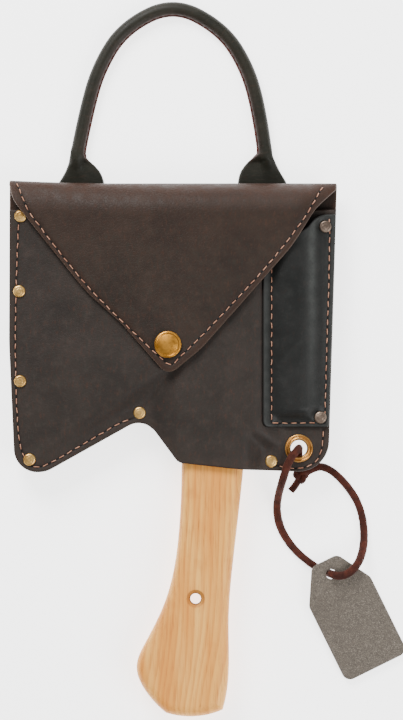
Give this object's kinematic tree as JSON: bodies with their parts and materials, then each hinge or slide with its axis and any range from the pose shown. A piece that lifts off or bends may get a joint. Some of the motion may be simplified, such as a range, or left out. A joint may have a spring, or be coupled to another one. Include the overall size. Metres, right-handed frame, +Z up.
{
  "type": "hatchet in a leather carrying case",
  "caption": "Short hatchet with an ash haft, stored head down in a stitched leather carrying case with a press-stud flap, tool pocket, rolled handle, lace and steel tag.",
  "frame": {"origin": "on the floor plane, on the flat middle of the case's back", "axes": "+X across the case from the cutting edge to the pocket side, +Y from the haft's knob to the carry handle, +Z up out of the front of the case, which lies on its back"},
  "size_m": [0.2774, 0.5008, 0.0384],
  "materials": {
    "panel_leather": "oiled, slightly mottled, satin",
    "edge_leather": "burnished edge",
    "pocket_leather": "smooth, satin",
    "flap_leather": "oiled pull-up, satin",
    "handle_leather": "smooth, satin",
    "lace_suede": "suede",
    "brass": "antique satin",
    "snap_brass": "antique satin",
    "eyelet_brass": "polished",
    "pewter": "antique satin",
    "forged_steel": "forged, ground edge",
    "wedge_steel": "plain",
    "tag_steel": "bead-blasted, matte",
    "ash": "oiled, satin",
    "wedge_wood": "plain",
    "cord_core": "matte"
  },
  "bodies": {
    "root": {"back_panel": "panel_leather", "front_panel": "panel_leather", "blade_edge_welt": "edge_leather", "spine_edge_welt": "edge_leather", "tool_pocket": "pocket_leather", "seam_rivet_caps": "brass", "seam_rivet_posts": "brass", "pocket_rivet_caps": "pewter", "pocket_rivet_posts": "pewter", "snap_stud": "snap_brass", "snap_stud_base": "snap_brass", "eyelet_barrel": "eyelet_brass", "eyelet_washer": "eyelet_brass", "carry_tab_left": "handle_leather", "carry_tab_right": "handle_leather", "carry_tab_rivets": "pewter"},
    "flap": {"flap": "flap_leather", "snap_cap": "snap_brass", "snap_socket": "snap_brass"},
    "carry_handle": {"carry_handle_wrap": "handle_leather", "carry_handle_core": "cord_core"},
    "axe": {"axe_head": "forged_steel", "axe_haft": "ash", "haft_wood_wedge": "wedge_wood", "haft_steel_wedge": "wedge_steel"},
    "lace": {"lace": "lace_suede", "lace_knot": "lace_suede"},
    "tag": {"tag": "tag_steel"}
  },
  "joints": [
    {"name": "flap_hinge", "type": "hinge", "parent": "root", "child": "flap", "pos_m": [0, 0.122, 0.01465], "axis": [-1, 0, 0], "range_deg": [0, 100]},
    {"name": "axe_lift", "type": "slide", "parent": "root", "child": "axe", "axis": [0, 1, 0], "range_m": [0, 0.006]},
    {"name": "carry_handle_tilt", "type": "hinge", "parent": "root", "child": "carry_handle", "pos_m": [0, 0.129, 0.0051], "axis": [1, 0, 0], "range_deg": [0, 30]},
    {"name": "lace_swing", "type": "hinge", "parent": "root", "child": "lace", "pos_m": [0.0884, -0.0635, 0.016], "axis": [0, 0, 1], "range_deg": [-8, 30]},
    {"name": "tag_turn", "type": "hinge", "parent": "lace", "child": "tag", "pos_m": [0.111, -0.1516, 0.0058], "axis": [0.034, -0.0688, 0.9971], "range_deg": [-15, 15]}
  ]
}
